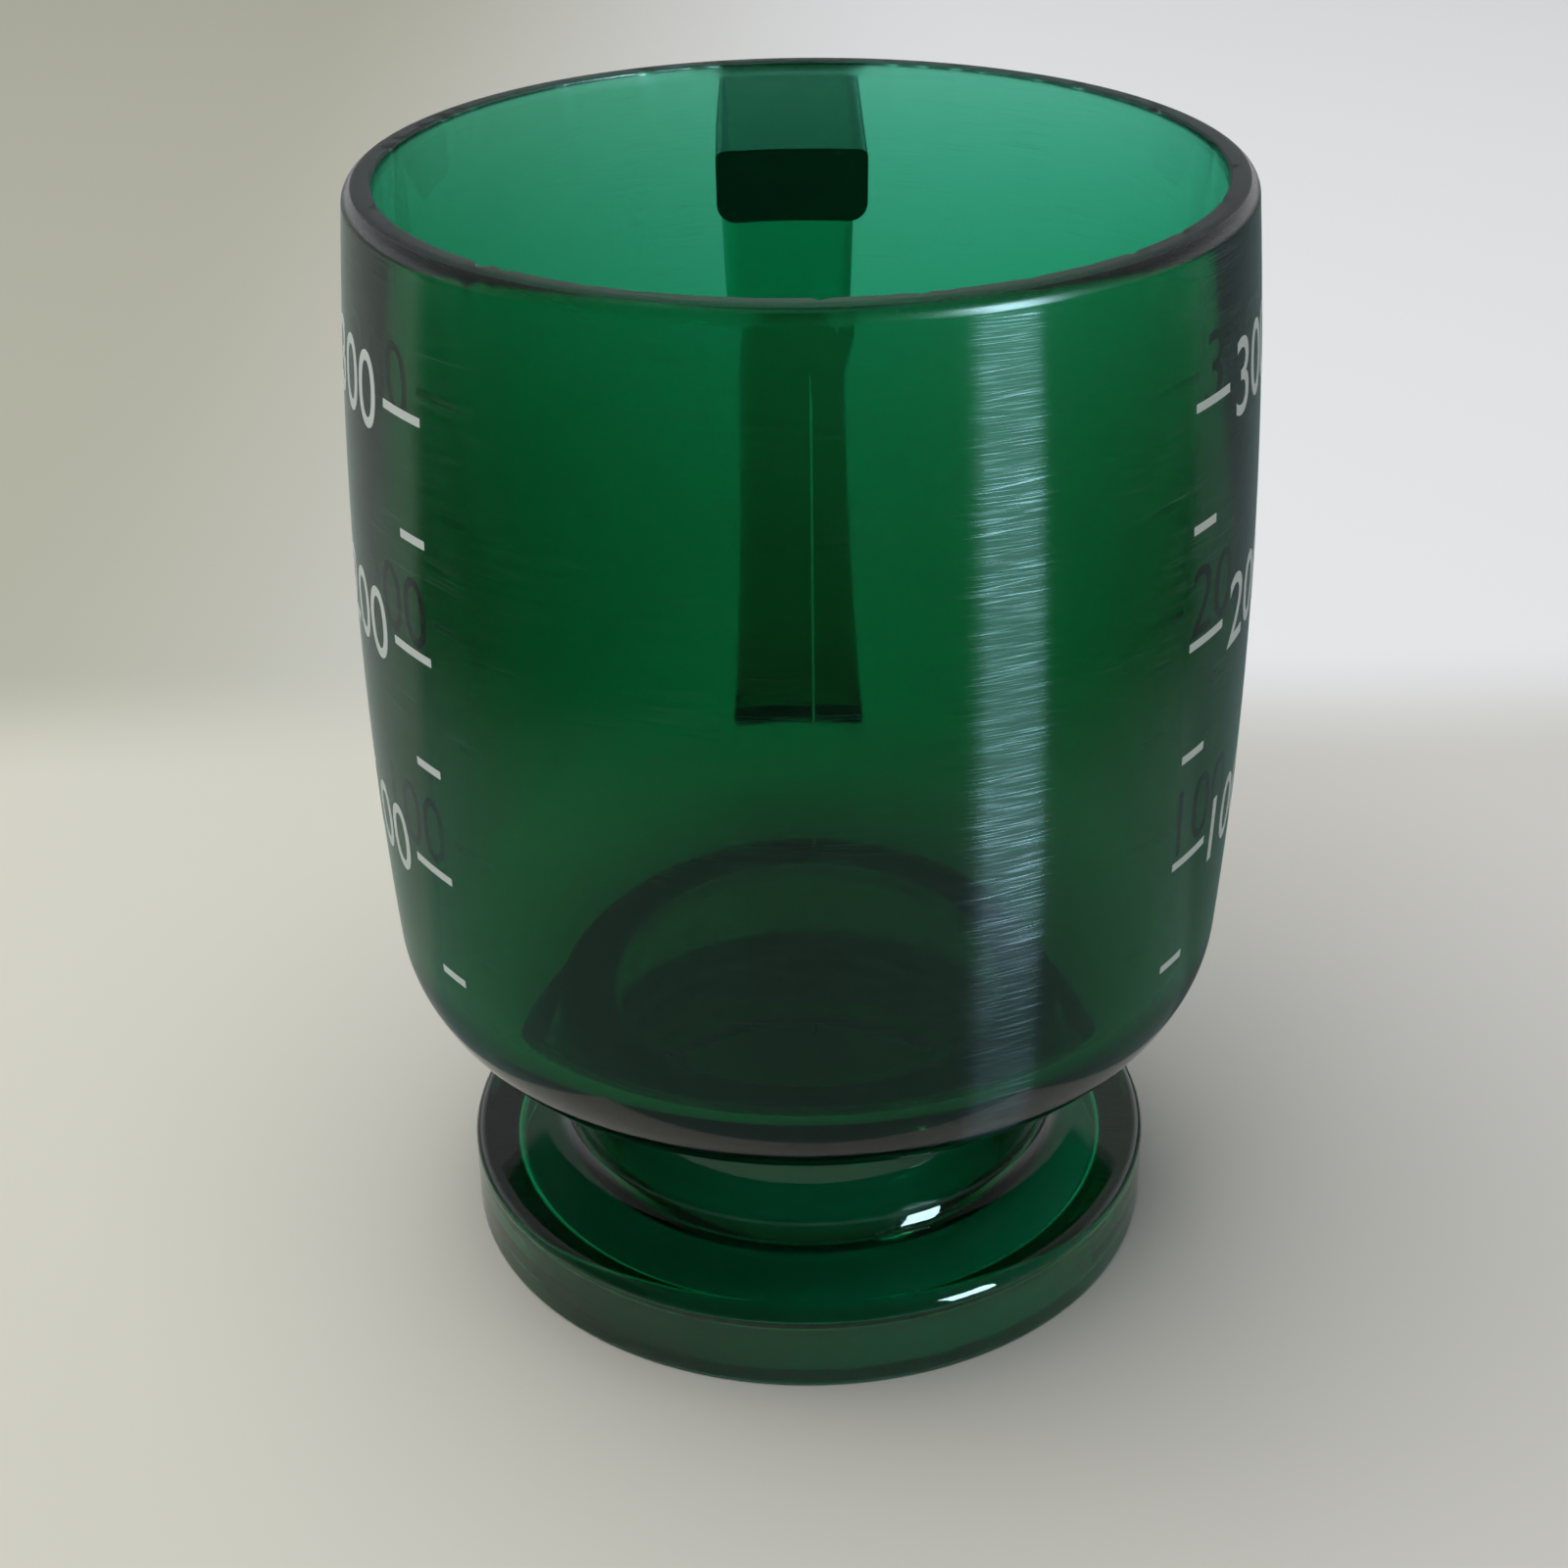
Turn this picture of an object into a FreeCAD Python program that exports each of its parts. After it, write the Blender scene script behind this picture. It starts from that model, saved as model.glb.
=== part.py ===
import FreeCAD, Part
import math
import os

from FreeCAD import Vector

# Pedestal mug: a cup, a pedestal foot under it and a loop handle on its +Y side.
# Millimetres. Origin on the cup's axis in the plane that the foot stands on, +Z up.

# Cup
HEIGHT = 112.0  # standing plane to lip
BELLY_RADIUS = 43.15  # widest outside radius
BELLY_HEIGHT = 68.6  # where the side is widest
BARREL_RADIUS = 444.0  # bulge of the side, seen from the side
CORNER_HEIGHT = 37.6  # centre of the rounding from side to underside
OUTER_CORNER = 12.4  # outside radius of that rounding
INNER_CORNER = 7.7  # inside radius, about the same centre
UNDERSIDE_SLOPE = 12.0  # degrees that the underside rises from the neck
DRAFT = 0.8  # degrees that the straight inside opens upwards
LIP_ROUND = 1.7  # outer edge of the lip
LIP_EDGE = 0.35  # inner edge of the lip

# Foot
NECK_RADIUS = 25.4
NECK_FILLET = 3.3  # neck to base flange
FOOT_RADIUS = 36.2
FOOT_THICKNESS = 9.2  # height of the base flange
FOOT_TOP_ROUND = 1.6
FOOT_BOTTOM_ROUND = 0.6
FOOT_WALL = 4.4  # skirt of the hollow base flange
FOOT_DECK = 4.2  # deck over the hollow base flange
BORE_RADIUS = 21.0  # hollow of the neck, open below
BORE_EDGE = 0.4  # lower edge of that hollow
SKIRT_FILLET = 1.0  # deck to skirt, inside
FLOOR_RECESS = 2.6  # how far the neck's hollow goes on into the cup's thick floor
RECESS_ROUND = 1.2  # its upper edge
SEAM_HEIGHT = 23.0  # flat joint between cup and neck
SEAM_FILLET = 0.6  # small rounding in the corner over the neck

# Handle, seen from the side
ARM_TOP = 102.3  # top of the upper arm
ARM_UNDERSIDE = 94.5  # its underside where it meets the bowl's widest radius
ARM_SLOPE = 4.0  # degrees that it thins towards the grip
GRIP_OUTSIDE = 79.5  # distance of the grip's outer face from the cup's axis
GRIP_THICKNESS = 4.1
HANDLE_TOP_CORNER = 10.0
GAP_TOP_CORNER = 5.0  # its inner counterpart
SWEEP_HEIGHT = 79.0  # below this the grip bends in towards the cup
SWEEP_RADIUS = 30.0  # outer radius of that bend
OUTER_SLOPE = 45.0  # degrees, of the lower arm's outer face
FINGER_SLOPE = 41.5  # and of its inner face
TAIL_RADIUS = 10.0  # the outer face bends back here, to run down beside the cup
TAIL_REACH = 47.0  # distance from the cup's axis at which it would be upright
TAIL_END = 33.0  # flat lower end
ROOT_DEPTH = 40.0  # the arms are drawn from here, inside the wall, and trimmed to its outside

# Handle, seen from the front
HANDLE_WIDTH = 16.7  # of the upper arm and the top of the grip
HANDLE_WAIST = 14.8  # narrowest width
SHOULDER_HEIGHT = 86.0  # the width starts to shrink here
WAIST_HEIGHT = 56.0
HANDLE_OUTER_EDGE = 0.9  # edge rounding on the outside of the loop
HANDLE_INNER_EDGE = 2.2  # edge rounding where the fingers go

# Worked out
BARREL_AXIS = BELLY_RADIUS - BARREL_RADIUS  # radius at which the bulge's centre lies
CORNER_RADIUS_AT = BARREL_AXIS + math.sqrt(
    (BARREL_RADIUS - OUTER_CORNER) ** 2 - (CORNER_HEIGHT - BELLY_HEIGHT) ** 2
)  # radius at which the corner's centre lies
CUP_FLOOR = CORNER_HEIGHT - INNER_CORNER


def at(radius, height):
    """A point of a turned outline."""
    return Vector(radius, 0, height)


def polar(centre, radius, degrees):
    """The point of a circle in the outline's plane, measured from the horizontal."""
    turn = math.radians(degrees)
    return centre + Vector(radius * math.cos(turn), 0, radius * math.sin(turn))


def arc(centre, radius, start, end):
    """An arc of a circle in the outline's plane, from one angle to another in degrees."""
    points = [polar(centre, radius, a) for a in (start, (start + end) / 2, end)]
    return Part.Arc(*points).toShape()


def ends(piece):
    """First and last point of an arc, or a point twice."""
    if isinstance(piece, Vector):
        return piece, piece
    return piece.valueAt(piece.FirstParameter), piece.valueAt(piece.LastParameter)


def joined(pieces):
    """Closed outline: straight lines fill the gaps between the arcs and points given."""
    edges = []
    for piece, following in zip(pieces, pieces[1:] + pieces[:1]):
        if not isinstance(piece, Vector):
            edges.append(piece)
        here = ends(piece)[1]
        there = ends(following)[0]
        if here.distanceToPoint(there) > 1e-6:
            edges.append(Part.makeLine(here, there))
    return Part.Face(Part.Wire(Part.__sortEdges__(edges)))


def turned(pieces):
    """Solid of revolution about the cup's axis."""
    return joined(pieces).revolve(Vector(0, 0, 0), Vector(0, 0, 1), 360)


def lip_round():
    """Rounded outer edge of the lip: tangent to the flat lip and to the bulging side."""
    height = HEIGHT - LIP_ROUND
    radius = BARREL_AXIS + math.sqrt((BARREL_RADIUS - LIP_ROUND) ** 2 - (height - BELLY_HEIGHT) ** 2)
    tilt = math.degrees(math.atan2(height - BELLY_HEIGHT, radius - BARREL_AXIS))
    return arc(at(radius, height), LIP_ROUND, 90, tilt)


def side_and_corner():
    """Outside of the cup from under the lip to the sloping underside."""
    barrel_centre = at(BARREL_AXIS, BELLY_HEIGHT)
    lip = lip_round()
    lip_end = ends(lip)[1]
    upper = math.degrees(math.atan2(lip_end.z - BELLY_HEIGHT, lip_end.x - BARREL_AXIS))
    corner_centre = at(CORNER_RADIUS_AT, CORNER_HEIGHT)
    lower = math.degrees(math.atan2(CORNER_HEIGHT - BELLY_HEIGHT, CORNER_RADIUS_AT - BARREL_AXIS))
    side = arc(barrel_centre, BARREL_RADIUS, upper, lower)
    corner = arc(corner_centre, OUTER_CORNER, lower, UNDERSIDE_SLOPE - 90)
    return [lip, side, corner]


def underside():
    """Sloping underside, the small rounding over the neck and the flat joint face."""
    slope = math.radians(UNDERSIDE_SLOPE)
    corner_centre = at(CORNER_RADIUS_AT, CORNER_HEIGHT)
    tangent = polar(corner_centre, OUTER_CORNER, UNDERSIDE_SLOPE - 90)
    fillet_radius = NECK_RADIUS + SEAM_FILLET
    fillet_top = tangent.z - (tangent.x - fillet_radius) * math.tan(slope)
    fillet_centre = at(fillet_radius, fillet_top - SEAM_FILLET / math.cos(slope))
    return [arc(fillet_centre, SEAM_FILLET, 90 + UNDERSIDE_SLOPE, 180), at(NECK_RADIUS, SEAM_HEIGHT)]


def floor_recess():
    """Hollow in the underside of the thick floor, over the neck's bore."""
    roof = SEAM_HEIGHT + FLOOR_RECESS
    edge = arc(at(BORE_RADIUS - RECESS_ROUND, roof - RECESS_ROUND), RECESS_ROUND, 0, 90)
    return [at(BORE_RADIUS, SEAM_HEIGHT), edge, at(0, roof)]


def inside():
    """Inside of the cup: floor, rounded corner and straight drafted wall up to the lip."""
    centre = at(CORNER_RADIUS_AT, CORNER_HEIGHT)
    corner = arc(centre, INNER_CORNER, -90, -DRAFT)
    foot_of_wall = ends(corner)[1]
    rise = HEIGHT - LIP_EDGE - foot_of_wall.z
    lip_radius = foot_of_wall.x + rise * math.tan(math.radians(DRAFT))
    edge = arc(at(lip_radius + LIP_EDGE, HEIGHT - LIP_EDGE), LIP_EDGE, 180, 90)
    return [at(0, CUP_FLOOR), corner, edge]


def make_bowl():
    return turned(inside() + side_and_corner() + underside() + floor_recess())


def filled_bowl():
    """The cup's outer form without its hollow, to trim the handle with."""
    return turned([at(0, HEIGHT)] + side_and_corner() + [at(0, CORNER_HEIGHT - OUTER_CORNER)])


def make_foot():
    neck_corner = arc(
        at(NECK_RADIUS + NECK_FILLET, FOOT_THICKNESS + NECK_FILLET), NECK_FILLET, 180, 270
    )
    top_edge = arc(
        at(FOOT_RADIUS - FOOT_TOP_ROUND, FOOT_THICKNESS - FOOT_TOP_ROUND), FOOT_TOP_ROUND, 90, 0
    )
    bottom_edge = arc(at(FOOT_RADIUS - FOOT_BOTTOM_ROUND, FOOT_BOTTOM_ROUND), FOOT_BOTTOM_ROUND, 0, -90)
    ceiling = FOOT_THICKNESS - FOOT_DECK
    skirt = FOOT_RADIUS - FOOT_WALL
    skirt_corner = arc(at(skirt - SKIRT_FILLET, ceiling - SKIRT_FILLET), SKIRT_FILLET, 0, 90)
    bore_edge = arc(at(BORE_RADIUS + BORE_EDGE, ceiling + BORE_EDGE), BORE_EDGE, 270, 180)
    return turned(
        [
            at(BORE_RADIUS, SEAM_HEIGHT),
            at(NECK_RADIUS, SEAM_HEIGHT),
            neck_corner,
            top_edge,
            bottom_edge,
            at(skirt, 0),
            skirt_corner,
            bore_edge,
        ]
    )


def along(start, degrees, reach):
    """The point a horizontal distance on from another, along a line that falls towards the cup's axis."""
    return Vector(start.x - reach, 0, start.z - reach * math.tan(math.radians(degrees)))


def outer_face():
    """Side view of the loop's outer face, from the upper root round the grip to the flat lower end."""
    top = arc(
        at(GRIP_OUTSIDE - HANDLE_TOP_CORNER, ARM_TOP - HANDLE_TOP_CORNER), HANDLE_TOP_CORNER, 90, 0
    )
    sweep = arc(at(GRIP_OUTSIDE - SWEEP_RADIUS, SWEEP_HEIGHT), SWEEP_RADIUS, 0, OUTER_SLOPE - 90)
    tail_middle = TAIL_REACH + TAIL_RADIUS
    tail_start = polar(at(tail_middle, 0), TAIL_RADIUS, OUTER_SLOPE + 90)
    bend_end = ends(sweep)[1]
    height = along(bend_end, OUTER_SLOPE, bend_end.x - tail_start.x).z - tail_start.z
    lower_end = 180 - math.degrees(math.asin((TAIL_END - height) / TAIL_RADIUS))
    tail = arc(at(tail_middle, height), TAIL_RADIUS, OUTER_SLOPE + 90, lower_end)
    return [at(ROOT_DEPTH, ARM_TOP), top, sweep, tail, at(ROOT_DEPTH, TAIL_END)]


def finger_side():
    """Side view of the loop's inner face, from the lower root up the grip and along under the upper arm."""
    grip_inside = GRIP_OUTSIDE - GRIP_THICKNESS
    bend_radius = SWEEP_RADIUS - GRIP_THICKNESS
    bend = arc(at(GRIP_OUTSIDE - SWEEP_RADIUS, SWEEP_HEIGHT), bend_radius, FINGER_SLOPE - 90, 0)
    bend_start = ends(bend)[0]
    slope = math.radians(ARM_SLOPE)
    corner_at = grip_inside - GAP_TOP_CORNER
    ceiling = ARM_UNDERSIDE + (corner_at - BELLY_RADIUS) * math.tan(slope)
    corner_middle = at(corner_at, ceiling - GAP_TOP_CORNER / math.cos(slope))
    corner = arc(corner_middle, GAP_TOP_CORNER, 0, 90 + ARM_SLOPE)
    corner_end = ends(corner)[1]
    return [
        along(bend_start, FINGER_SLOPE, bend_start.x - ROOT_DEPTH),
        bend,
        corner,
        along(corner_end, ARM_SLOPE, corner_end.x - ROOT_DEPTH),
    ]


def side_view_solid():
    """The loop's side view, extruded to more than its width about the YZ plane."""
    solid = joined(outer_face() + finger_side()).extrude(Vector(0, 2 * HANDLE_WIDTH, 0))
    solid.rotate(Vector(0, 0, 0), Vector(0, 0, 1), 90)
    solid.translate(Vector(HANDLE_WIDTH, 0, 0))
    return solid


def front_view_solid():
    """The handle's front view, straight above and waisted below, extruded along Y."""
    narrowing = (HANDLE_WIDTH - HANDLE_WAIST) / 2
    drop = SHOULDER_HEIGHT - WAIST_HEIGHT
    radius = (drop**2 + narrowing**2) / (4 * narrowing)
    bend = math.degrees(math.asin(drop / 2 / radius))
    shoulder = at(HANDLE_WIDTH / 2 - radius, SHOULDER_HEIGHT)
    waist = at(HANDLE_WAIST / 2 + radius, WAIST_HEIGHT)
    flare = math.degrees(math.asin((WAIST_HEIGHT - TAIL_END) / radius))
    right = [
        at(HANDLE_WIDTH / 2, ARM_TOP),
        arc(shoulder, radius, 0, -bend),
        arc(waist, radius, 180 - bend, 180 + flare),
    ]
    foot_width = ends(right[-1])[1].x
    corners = [at(-foot_width, TAIL_END), at(-HANDLE_WIDTH / 2, ARM_TOP)]
    left = [
        arc(at(-waist.x, waist.z), radius, -flare, bend),
        arc(at(-shoulder.x, shoulder.z), radius, 180 + bend, 180),
    ]
    outline = right + corners[:1] + left + corners[1:]
    return joined(outline).extrude(Vector(0, 2 * GRIP_OUTSIDE, 0))


def view_lines(pieces):
    """The arcs of an open outline and the straight lines that join them."""
    edges = [piece for piece in pieces if not isinstance(piece, Vector)]
    for piece, following in zip(pieces, pieces[1:]):
        here = ends(piece)[1]
        there = ends(following)[0]
        if here.distanceToPoint(there) > 1e-6:
            edges.append(Part.makeLine(here, there))
    return edges


def edges_on(solid, pieces):
    """The solid's edges that lie on a line of the side view, apart from those at the root inside the wall."""
    lines = view_lines(pieces)
    found = []
    for edge in solid.Edges:
        middle = edge.valueAt((edge.FirstParameter + edge.LastParameter) / 2)
        spot = Part.Vertex(at(middle.y, middle.z))
        apart = min(spot.distToShape(line)[0] for line in lines)
        across = edge.BoundBox.XLength > HANDLE_WAIST / 2
        if apart < 0.01 and edge.BoundBox.YMax > ROOT_DEPTH + 1 and (not across or is_tail_edge(middle)):
            found.append(edge)
    return found


def is_tail_edge(middle):
    """True for the middle of the edge across the tail's flat end."""
    return abs(middle.z - TAIL_END) < 0.01 and middle.y > BELLY_RADIUS


def make_handle():
    loop = side_view_solid().common(front_view_solid()).Solids[0]
    loop = loop.makeFillet(HANDLE_OUTER_EDGE, edges_on(loop, outer_face())).Solids[0]
    loop = loop.makeFillet(HANDLE_INNER_EDGE, edges_on(loop, finger_side())).Solids[0]
    return loop.cut(filled_bowl()).Solids[0]


os.makedirs("parts", exist_ok=True)
make_bowl().exportStep("parts/bowl.step")
make_foot().exportStep("parts/pedestal_foot.step")
make_handle().exportStep("parts/handle.step")
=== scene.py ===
import math

import bmesh
import bpy
from mathutils import Matrix, Vector, noise


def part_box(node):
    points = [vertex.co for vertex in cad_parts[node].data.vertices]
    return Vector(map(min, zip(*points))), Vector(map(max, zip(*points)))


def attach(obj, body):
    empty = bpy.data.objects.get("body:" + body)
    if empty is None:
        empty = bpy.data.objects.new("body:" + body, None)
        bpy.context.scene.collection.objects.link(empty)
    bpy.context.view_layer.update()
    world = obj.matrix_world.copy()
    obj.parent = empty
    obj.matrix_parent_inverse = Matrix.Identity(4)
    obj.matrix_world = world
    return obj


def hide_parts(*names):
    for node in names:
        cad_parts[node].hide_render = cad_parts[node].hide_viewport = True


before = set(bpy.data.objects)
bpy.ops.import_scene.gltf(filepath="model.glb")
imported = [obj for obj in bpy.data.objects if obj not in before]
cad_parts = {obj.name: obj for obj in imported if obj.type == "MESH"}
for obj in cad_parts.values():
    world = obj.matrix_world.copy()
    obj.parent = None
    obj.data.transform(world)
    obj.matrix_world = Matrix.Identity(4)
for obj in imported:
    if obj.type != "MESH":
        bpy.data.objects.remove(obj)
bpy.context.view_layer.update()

# A clear green plastic mug on a pedestal foot, with a loop handle. Metres, the same frame as the CAD model.

MM = 0.001

bowl_low, bowl_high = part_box("bowl")
_, foot_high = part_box("pedestal_foot")
handle_low, handle_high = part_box("handle")

# Bowl
INK_ROOM = 0.04 * MM  # the wall lies this far inside the CAD outline, so that the ink on it stays within it
LIP = bowl_high.z
SEAM = bowl_low.z  # bowl to neck
BELLY_RADIUS = bowl_high.x - INK_ROOM
BELLY_HEIGHT = 68.6 * MM
BARREL_RADIUS = 444 * MM  # bulge of the side, seen from the side
CORNER_HEIGHT = 37.6 * MM  # centre of the rounding from side to underside
OUTER_CORNER = 12.4 * MM
INNER_CORNER = 7.7 * MM
UNDERSIDE_SLOPE = 12  # degrees
DRAFT = 0.8  # degrees that the straight inside opens upwards
LIP_ROUND = 1.7 * MM
LIP_EDGE = 0.35 * MM
FLOOR_RECESS = 2.6 * MM  # hollow under the thick floor
RECESS_ROUND = 1.2 * MM
SEAM_FILLET = 0.6 * MM

# Foot
NECK_RADIUS = 25.4 * MM
NECK_FILLET = 3.3 * MM
FOOT_RADIUS = foot_high.x
FOOT_THICKNESS = 9.2 * MM
FOOT_TOP_ROUND = 1.6 * MM
FOOT_BOTTOM_ROUND = 0.6 * MM
FOOT_WALL = 4.4 * MM
FOOT_DECK = 4.2 * MM
BORE_RADIUS = 21 * MM
FOOT_DEPTH = 0.7  # the inside of the foot is a guess, and it looks thinner than this
BORE_EDGE = 0.4 * MM
SKIRT_FILLET = 1.0 * MM

# Handle, seen from the side
HANDLE_TOP_CORNER = 10 * MM
GAP_TOP_CORNER = 5 * MM  # its inner counterpart
ARM_UNDERSIDE = 94.5 * MM  # of the upper arm, where it meets the bowl's widest radius
ARM_SLOPE = 4  # degrees that the upper arm thins towards the grip
GRIP_THICKNESS = 4.1 * MM
SWEEP_HEIGHT = 79 * MM  # below this the grip bends in towards the bowl
SWEEP_RADIUS = 30 * MM
OUTER_SLOPE = 45  # degrees, of the lower arm's outer face
FINGER_SLOPE = 41.5  # and of its inner face
TAIL_RADIUS = 10 * MM  # the outer face bends back here, to run down beside the bowl
TAIL_REACH = 47 * MM  # distance from the mug's axis at which it would be upright
ROOT_DEPTH = 40 * MM  # the arms are drawn from here, inside the wall, and end on its surface

# Handle, seen from the front
HANDLE_WIDTH = 16.7 * MM
HANDLE_WAIST = 14.8 * MM  # narrowest width
SHOULDER_HEIGHT = 86 * MM  # the width starts to shrink here
WAIST_HEIGHT = 56 * MM
HANDLE_OUTER_EDGE = 0.9 * MM
HANDLE_INNER_EDGE = 2.2 * MM

# Graduations: lengths round the bowl are measured from the front
INK_THICKNESS = 0.03 * MM
SCALE_START = 38 * MM
LONG_TICK = 6.5 * MM
SHORT_TICK = 4 * MM
TICK_THICKNESS = 0.8 * MM
NUMBER_GAP = 1.8 * MM
NUMBER_HEIGHT = 7 * MM

JOIN = 0.03 * MM  # bonded pieces reach this far into each other, so that light passes from one to the next
SEGMENTS = 384  # round the mug
PARTING_LINE = math.radians(-0.25)  # how far the mould's line is from the front
RIDGE_HEIGHT = 0.03 * MM
RIDGE_HALF_WIDTH = 0.11 * MM

# What the plastic takes from red, green and blue light, per metre
ABSORPTION = (740, 203, 335)
REFRACTION = 1.5


# ---- outlines -------------------------------------------------------------------------------------------


def polar(centre, radius, degrees):
    turn = math.radians(degrees)
    return Vector((centre.x + radius * math.cos(turn), centre.y + radius * math.sin(turn)))


def arc(centre, radius, start, end, step=6, count=None):
    """Points of a circle between two angles in degrees, at most step degrees apart or in count steps."""
    count = count or max(2, math.ceil(abs(end - start) / step))
    return [polar(centre, radius, start + (end - start) * k / count) for k in range(count + 1)]


def evenly(start, end, longest):
    """Points of a straight line without its ends, at most longest apart."""
    count = math.ceil((end - start).length / longest)
    return [start.lerp(end, k / count) for k in range(1, count)]


barrel_centre = Vector((BELLY_RADIUS - BARREL_RADIUS, BELLY_HEIGHT))
corner_centre = Vector(
    (
        barrel_centre.x
        + math.sqrt((BARREL_RADIUS - OUTER_CORNER) ** 2 - (CORNER_HEIGHT - BELLY_HEIGHT) ** 2),
        CORNER_HEIGHT,
    )
)


def side_radius(height):
    """Outside radius of the bowl's wall at a height."""
    if height > corner_centre.y:
        return barrel_centre.x + math.sqrt(BARREL_RADIUS**2 - (height - barrel_centre.y) ** 2)
    return corner_centre.x + math.sqrt(OUTER_CORNER**2 - (height - corner_centre.y) ** 2)


def angle_from(centre, point):
    return math.degrees(math.atan2(point.y - centre.y, point.x - centre.x))


def bowl_outside():
    """From the lip's outer rounding down the barrel side and the sloping underside to the neck."""
    round_height = LIP - LIP_ROUND
    round_centre = Vector(
        (
            barrel_centre.x
            + math.sqrt((BARREL_RADIUS - LIP_ROUND) ** 2 - (round_height - BELLY_HEIGHT) ** 2),
            round_height,
        )
    )
    upper = angle_from(barrel_centre, round_centre)
    lower = angle_from(barrel_centre, corner_centre)
    lip = arc(round_centre, LIP_ROUND, 90, upper)
    side = arc(barrel_centre, BARREL_RADIUS, upper, lower, step=0.4)
    corner = arc(corner_centre, OUTER_CORNER, lower, UNDERSIDE_SLOPE - 90, step=4)
    slope = math.radians(UNDERSIDE_SLOPE)
    fillet_radius = NECK_RADIUS + SEAM_FILLET
    fillet_top = corner[-1].y - (corner[-1].x - fillet_radius) * math.tan(slope)
    fillet_centre = Vector((fillet_radius, fillet_top - SEAM_FILLET / math.cos(slope)))
    fillet = arc(fillet_centre, SEAM_FILLET, 90 + UNDERSIDE_SLOPE, 180, step=15)
    return lip + side[1:] + corner[1:] + evenly(corner[-1], fillet[0], 2 * MM) + fillet


def bowl_inside():
    """From the middle of the floor out to the rounded corner and up the drafted wall to the lip."""
    corner = arc(corner_centre, INNER_CORNER, -90, -DRAFT, step=4)
    rise = LIP - LIP_EDGE - corner[-1].y
    top = Vector((corner[-1].x + rise * math.tan(math.radians(DRAFT)), LIP - LIP_EDGE))
    edge = arc(top + Vector((LIP_EDGE, 0)), LIP_EDGE, 180, 90, step=20)
    middle = Vector((0, corner[0].y))
    return [middle] + evenly(middle, corner[0], 3 * MM) + corner + evenly(corner[-1], top, 3 * MM) + edge


def bowl_outline():
    roof = SEAM + FLOOR_RECESS
    recess = arc(Vector((BORE_RADIUS - RECESS_ROUND, roof - RECESS_ROUND)), RECESS_ROUND, 0, 90, step=12)
    middle = Vector((0, roof))
    ring = [Vector((NECK_RADIUS, SEAM)), Vector((BORE_RADIUS, SEAM))]
    return bowl_inside() + bowl_outside() + ring + recess + evenly(recess[-1], middle, 3 * MM) + [middle]


def foot_outline():
    top = SEAM + JOIN
    neck_foot = Vector((NECK_RADIUS + NECK_FILLET, FOOT_THICKNESS + NECK_FILLET))
    neck_corner = arc(neck_foot, NECK_FILLET, 180, 270)
    shoulder = Vector((FOOT_RADIUS - FOOT_TOP_ROUND, FOOT_THICKNESS - FOOT_TOP_ROUND))
    top_edge = arc(shoulder, FOOT_TOP_ROUND, 90, 0)
    sole = Vector((FOOT_RADIUS - FOOT_BOTTOM_ROUND, FOOT_BOTTOM_ROUND))
    bottom_edge = arc(sole, FOOT_BOTTOM_ROUND, 0, -90, step=10)
    ceiling = FOOT_THICKNESS - FOOT_DECK
    skirt = FOOT_RADIUS - FOOT_WALL
    skirt_corner = arc(Vector((skirt - SKIRT_FILLET, ceiling - SKIRT_FILLET)), SKIRT_FILLET, 0, 90, step=10)
    bore_edge = arc(Vector((BORE_RADIUS + BORE_EDGE, ceiling + BORE_EDGE)), BORE_EDGE, 270, 180, step=15)
    bore_top = Vector((BORE_RADIUS, SEAM - JOIN))
    neck_top = Vector((NECK_RADIUS, SEAM - JOIN))
    tongue = [Vector((BORE_RADIUS + JOIN, top)), Vector((NECK_RADIUS - JOIN, top))]
    return (
        tongue
        + [neck_top]
        + evenly(neck_top, neck_corner[0], 2 * MM)
        + neck_corner
        + evenly(neck_corner[-1], top_edge[0], 1 * MM)
        + top_edge
        + evenly(top_edge[-1], bottom_edge[0], 1 * MM)
        + bottom_edge
        + [Vector((skirt, 0))]
        + evenly(Vector((skirt, 0)), skirt_corner[0], 1 * MM)
        + skirt_corner
        + evenly(skirt_corner[-1], bore_edge[0], 2 * MM)
        + bore_edge
        + evenly(bore_edge[-1], bore_top, 2 * MM)
        + [bore_top]
    )


# ---- meshes ---------------------------------------------------------------------------------------------


def piece_from(name, bm, material):
    """Finishes a mesh: outward faces, soft shading with true edges, a material, and a place in the scene."""
    bmesh.ops.recalc_face_normals(bm, faces=bm.faces)
    for face in bm.faces:
        face.smooth = True
    mesh = bpy.data.meshes.new(name)
    bm.to_mesh(mesh)
    bm.free()
    mesh.set_sharp_from_angle(angle=math.radians(30))
    mesh.materials.append(material)
    piece = bpy.data.objects.new(name, mesh)
    bpy.context.scene.collection.objects.link(piece)
    weighted = piece.modifiers.new("even_shading", "WEIGHTED_NORMAL")
    weighted.keep_sharp = True
    return piece


def turned(outline, angles, closed):
    """Turns an outline about the mug's axis. A point on the axis is one vertex."""
    bm = bmesh.new()
    rows = []
    for point in outline:
        if point.x < 1e-6:
            rows.append([bm.verts.new((0, 0, point.y))] * len(angles))
        else:
            rows.append(
                [bm.verts.new((point.x * math.sin(a), -point.x * math.cos(a), point.y)) for a in angles]
            )
    if closed:
        rows.append(rows[0])
    for row, following in zip(rows, rows[1:]):
        for k in range(len(angles)):
            after = (k + 1) % len(angles)
            corners = [row[k], row[after], following[after], following[k]]
            bm.faces.new(list(dict.fromkeys(corners)))
    return bm


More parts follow.
